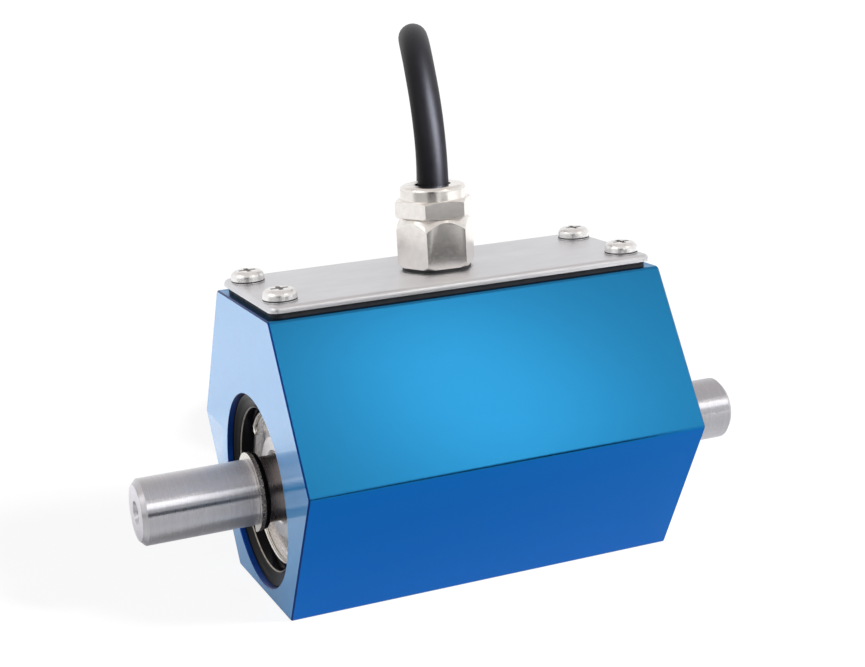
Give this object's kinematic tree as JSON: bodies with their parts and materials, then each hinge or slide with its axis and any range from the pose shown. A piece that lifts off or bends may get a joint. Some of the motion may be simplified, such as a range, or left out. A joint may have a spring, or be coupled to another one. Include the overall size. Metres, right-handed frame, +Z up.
{
  "type": "rotary torque sensor",
  "caption": "Hexagonal aluminium block with a measuring shaft through it on ball bearings, a screwed cover plate, and a cable gland with a signal cable and a round plug.",
  "frame": {"origin": "middle of the block's lower flat, on the surface that the block stands on", "axes": "+X along the shaft, +Z up towards the cover plate, +Y towards the side on which the cable is put away"},
  "size_m": [0.1688, 0.2091, 0.1314],
  "materials": {
    "blue_anodised": "satin blue anodised",
    "plain_aluminium": "turned",
    "ground_steel": "cylindrically ground",
    "plate_steel": "fine matt",
    "bearing_steel": "polished",
    "spring_steel": "bright",
    "screw_steel": "zinc plated",
    "nickel_plate": "bright nickel plate on brass",
    "black_ring": "glossy black",
    "black_rubber": "matt",
    "cable_jacket": "satin",
    "board_green": "solder mask",
    "chip_black": "moulded",
    "terminal_plastic": "moulded",
    "insert_plastic": "moulded",
    "cage_plastic": "moulded",
    "wire_insulation": "extruded",
    "gauge_foil": "polyimide",
    "copper": "enamelled copper wire",
    "core_ferrite": "sintered"
  },
  "bodies": {
    "sensor_body": {"housing": "blue_anodised", "cover_gasket": "black_rubber", "cover_plate": "plate_steel", "cover_screws": "screw_steel", "gland_body": "nickel_plate", "gland_cap_nut": "nickel_plate", "gland_lock_nut": "nickel_plate", "gland_seal": "black_rubber", "gland_washer": "black_rubber", "circuit_board": "board_green", "board_chips": "chip_black", "terminal_block": "terminal_plastic", "board_spacers": "screw_steel", "board_screws": "screw_steel", "lead_wires": "wire_insulation", "core_wires": "copper", "stator_sleeve": "plain_aluminium", "cable": "cable_jacket", "cable_coil": "cable_jacket", "cable_tail": "cable_jacket", "plug_clamp_nut": "nickel_plate", "plug_shell": "nickel_plate", "plug_insert": "insert_plastic", "left_bearing_outer_ring": "bearing_steel", "left_bearing_shields": "bearing_steel", "left_snap_wire": "spring_steel", "left_retaining_ring": "black_ring", "left_stator_core": "core_ferrite", "left_stator_winding": "copper", "right_bearing_outer_ring": "bearing_steel", "right_bearing_shields": "bearing_steel", "right_snap_wire": "spring_steel", "right_retaining_ring": "black_ring", "right_stator_core": "core_ferrite", "right_stator_winding": "copper"},
    "rotor": {"shaft": "ground_steel", "strain_gauges": "gauge_foil", "rotor_board": "board_green", "left_bearing_inner_ring": "bearing_steel", "right_bearing_inner_ring": "bearing_steel", "left_circlip": "spring_steel", "right_circlip": "spring_steel", "left_shaft_ring": "black_rubber", "right_shaft_ring": "black_rubber", "left_rotor_core": "core_ferrite", "right_rotor_core": "core_ferrite", "left_rotor_winding": "copper", "right_rotor_winding": "copper"},
    "left_ball_set": {"left_bearing_balls": "bearing_steel", "left_bearing_cage": "cage_plastic"},
    "right_ball_set": {"right_bearing_balls": "bearing_steel", "right_bearing_cage": "cage_plastic"},
    "plug_ring": {"plug_coupling_ring": "nickel_plate"}
  },
  "joints": [
    {"name": "shaft_spin", "type": "hinge", "parent": "sensor_body", "child": "rotor", "pos_m": [0, 0, 0.0259], "axis": [1, 0, 0], "continuous": true},
    {"name": "left_ball_spin", "type": "hinge", "parent": "sensor_body", "child": "left_ball_set", "pos_m": [-0.0386, 0, 0.0259], "axis": [1, 0, 0], "continuous": true},
    {"name": "right_ball_spin", "type": "hinge", "parent": "sensor_body", "child": "right_ball_set", "pos_m": [0.0386, 0, 0.0259], "axis": [1, 0, 0], "continuous": true},
    {"name": "plug_ring_spin", "type": "hinge", "parent": "sensor_body", "child": "plug_ring", "pos_m": [0.0799, 0.16, 0.0321], "axis": [0, 1, 0], "continuous": true}
  ],
  "couplings": [
    {"joint": "left_ball_spin", "follows": "shaft_spin", "ratio": 0.38158},
    {"joint": "right_ball_spin", "follows": "shaft_spin", "ratio": 0.38158}
  ]
}
